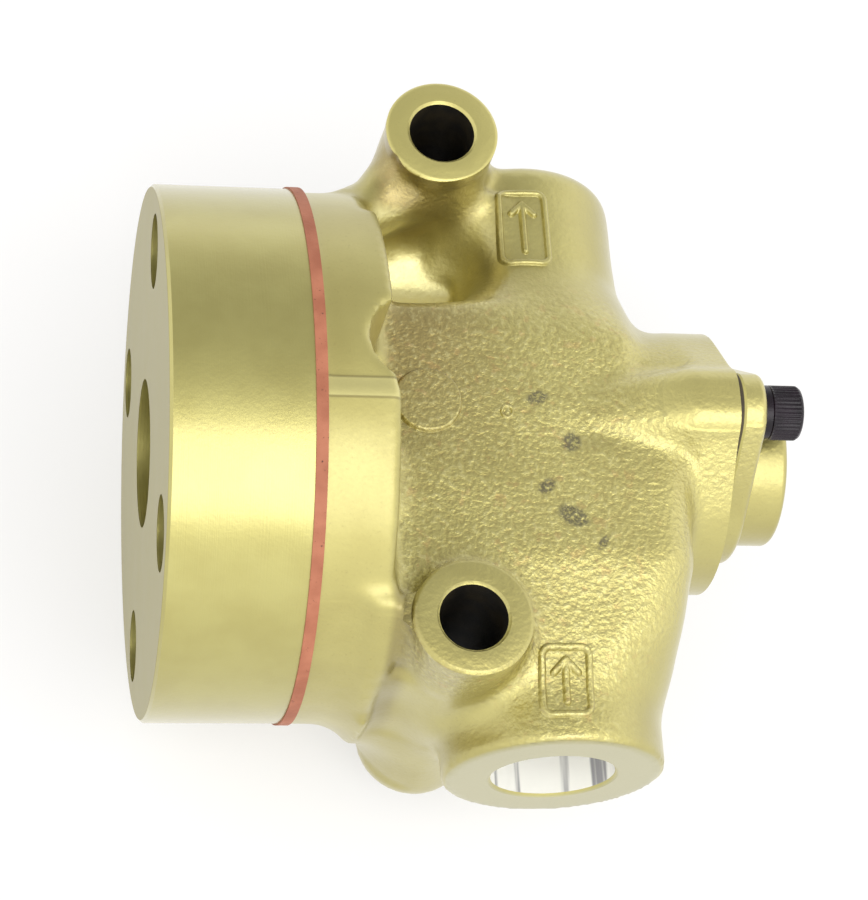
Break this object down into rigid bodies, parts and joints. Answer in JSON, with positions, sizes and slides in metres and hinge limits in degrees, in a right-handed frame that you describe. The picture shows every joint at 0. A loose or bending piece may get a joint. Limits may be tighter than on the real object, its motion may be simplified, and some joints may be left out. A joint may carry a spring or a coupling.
{
  "type": "pilot operated valve",
  "caption": "Painted cast pilot operated valve: thick round cover with a pilot port, side ports, long mounting bosses and a small eared end cap, with a sprung piston spindle inside.",
  "frame": {"origin": "centre of the cover's outer face, where the pilot port opens", "axes": "+X along the spindle from the cover to the end cap, +Y from the inlet column to the outlet column, +Z out of the front of the casting"},
  "size_m": [0.12, 0.1286, 0.1006],
  "materials": {
    "cast_paint": "greenish gold metallic paint over a rough sand casting",
    "cover_paint": "greenish gold metallic paint over fine turning lines",
    "gasket": "matt brick red gasket sheet with dark specks",
    "cap_gasket": "matt brick red gasket sheet",
    "black_steel": "black oxide, slightly oily",
    "turned_steel": "turned",
    "stem_steel": "ground",
    "bush_brass": "turned",
    "seat_brass": "turned and lapped",
    "seal_rubber": "matt",
    "seal_plastic": "white sealing plastic",
    "spring_steel": "drawn wire"
  },
  "bodies": {
    "body": {"valve_body": "cast_paint", "main_cover": "cover_paint", "cover_gasket": "gasket", "cap_gasket": "cap_gasket", "end_cap": "cast_paint", "cap_screw_front": "black_steel", "cap_screw_back": "black_steel", "cap_washer_front": "black_steel", "cap_washer_back": "black_steel", "cover_screw_1": "black_steel", "cover_screw_2": "black_steel", "cover_screw_3": "black_steel", "cover_screw_4": "black_steel", "stem_bush": "bush_brass", "stem_o_ring": "seal_rubber", "seat_ring": "seat_brass", "return_spring": "spring_steel"},
    "spindle": {"power_piston": "turned_steel", "piston_seal": "seal_rubber", "piston_washer": "turned_steel", "piston_nut": "turned_steel", "valve_stem": "stem_steel", "seal_retainer": "turned_steel", "poppet_seal": "seal_plastic", "valve_disc": "turned_steel", "disc_nut": "turned_steel"}
  },
  "joints": [
    {"name": "main_slide", "type": "slide", "parent": "body", "child": "spindle", "axis": [1, 0, 0], "range_m": [0, 0.007], "stiffness_N_per_m": 4500, "springref_m": -0.008, "deforming": ["return_spring"]}
  ]
}
